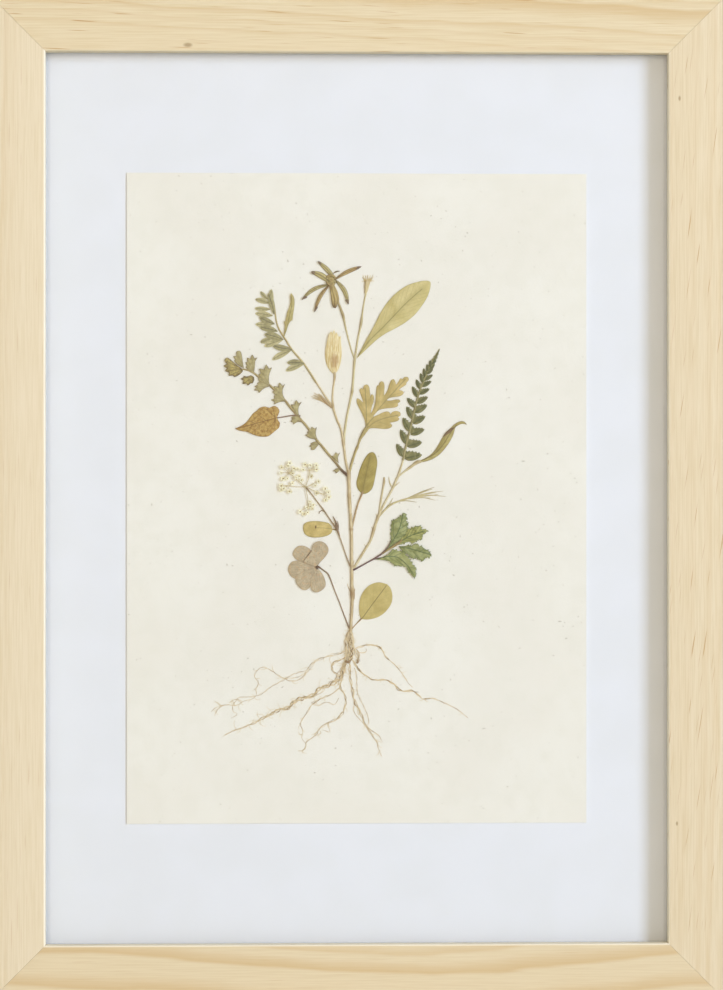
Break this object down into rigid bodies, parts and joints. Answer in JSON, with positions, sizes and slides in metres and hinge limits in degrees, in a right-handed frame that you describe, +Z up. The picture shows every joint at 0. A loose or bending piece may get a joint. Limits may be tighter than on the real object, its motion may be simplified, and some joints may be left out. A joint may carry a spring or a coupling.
{
  "type": "pressed flower frame",
  "caption": "Flat wooden frame with glass over a pressed collage of stems, leaves, flowers and roots on a float-mounted card; hangs on a wall nail",
  "frame": {"origin": "bearing point of the wall nail in the middle of the sawtooth hanger, on the wall plane", "axes": "+Z up along the long side, -Y the way the front faces, +X to the right as seen from the front"},
  "size_m": [0.333, 0.02, 0.455],
  "materials": {
    "pine": "bare, fine sanded",
    "glass": "polished float glass",
    "cream_card": "matt, faint laid texture",
    "white_board": "matt",
    "fibreboard": "pressed fibre, smooth",
    "steel": "zinc plated",
    "stem_straw": "dried, matt",
    "leaf_olive": "dried, matt",
    "leaf_green": "dried, matt",
    "leaf_dark_green": "dried, matt",
    "leaf_tan": "dried, matt",
    "leaf_rust": "dried, mottled",
    "petal_cream": "dried, matt",
    "petal_lilac": "dried, mottled",
    "seed_brown": "dried, matt",
    "root_straw": "dried, matt"
  },
  "bodies": {
    "root": {"rail_top": "pine", "tab_top_1": "steel", "tab_top_2": "steel", "rail_right": "pine", "tab_right_1": "steel", "tab_right_2": "steel", "tab_right_3": "steel", "rail_bottom": "pine", "tab_bottom_1": "steel", "tab_bottom_2": "steel", "rail_left": "pine", "tab_left_1": "steel", "tab_left_2": "steel", "tab_left_3": "steel", "glass_pane": "glass", "cream_card": "cream_card", "white_mount_board": "white_board", "back_board": "fibreboard", "sawtooth_hanger": "steel", "hanger_rivet_left": "steel", "hanger_rivet_right": "steel", "stem_main": "stem_straw", "stem_left_fork": "stem_straw", "stem_centre_fork": "stem_straw", "stem_star": "stem_straw", "stem_right_branch": "stem_straw", "flower_tuft": "stem_straw", "spiky_tuft": "stem_straw", "vetch_leaf": "leaf_olive", "small_curved_leaf": "leaf_olive", "burnet_leaf": "leaf_olive", "long_oval_leaf": "leaf_olive", "curled_leaf": "leaf_olive", "feathery_bract": "leaf_tan", "lance_leaf": "leaf_tan", "oval_leaf": "leaf_tan", "round_leaf": "leaf_tan", "lobed_leaf": "leaf_tan", "star_seed_head": "seed_brown", "yellow_bud": "petal_cream", "heart_leaf": "leaf_rust", "umbel": "petal_cream", "lilac_flower": "petal_lilac", "serrated_leaf": "leaf_green", "fern_frond": "leaf_dark_green", "root_crown": "root_straw", "root_left_upper": "root_straw", "root_left_long": "root_straw", "root_left_lower": "root_straw", "root_left_down": "root_straw", "root_down": "root_straw", "root_right_upper": "root_straw", "root_right_long": "root_straw"}
  },
  "joints": []
}
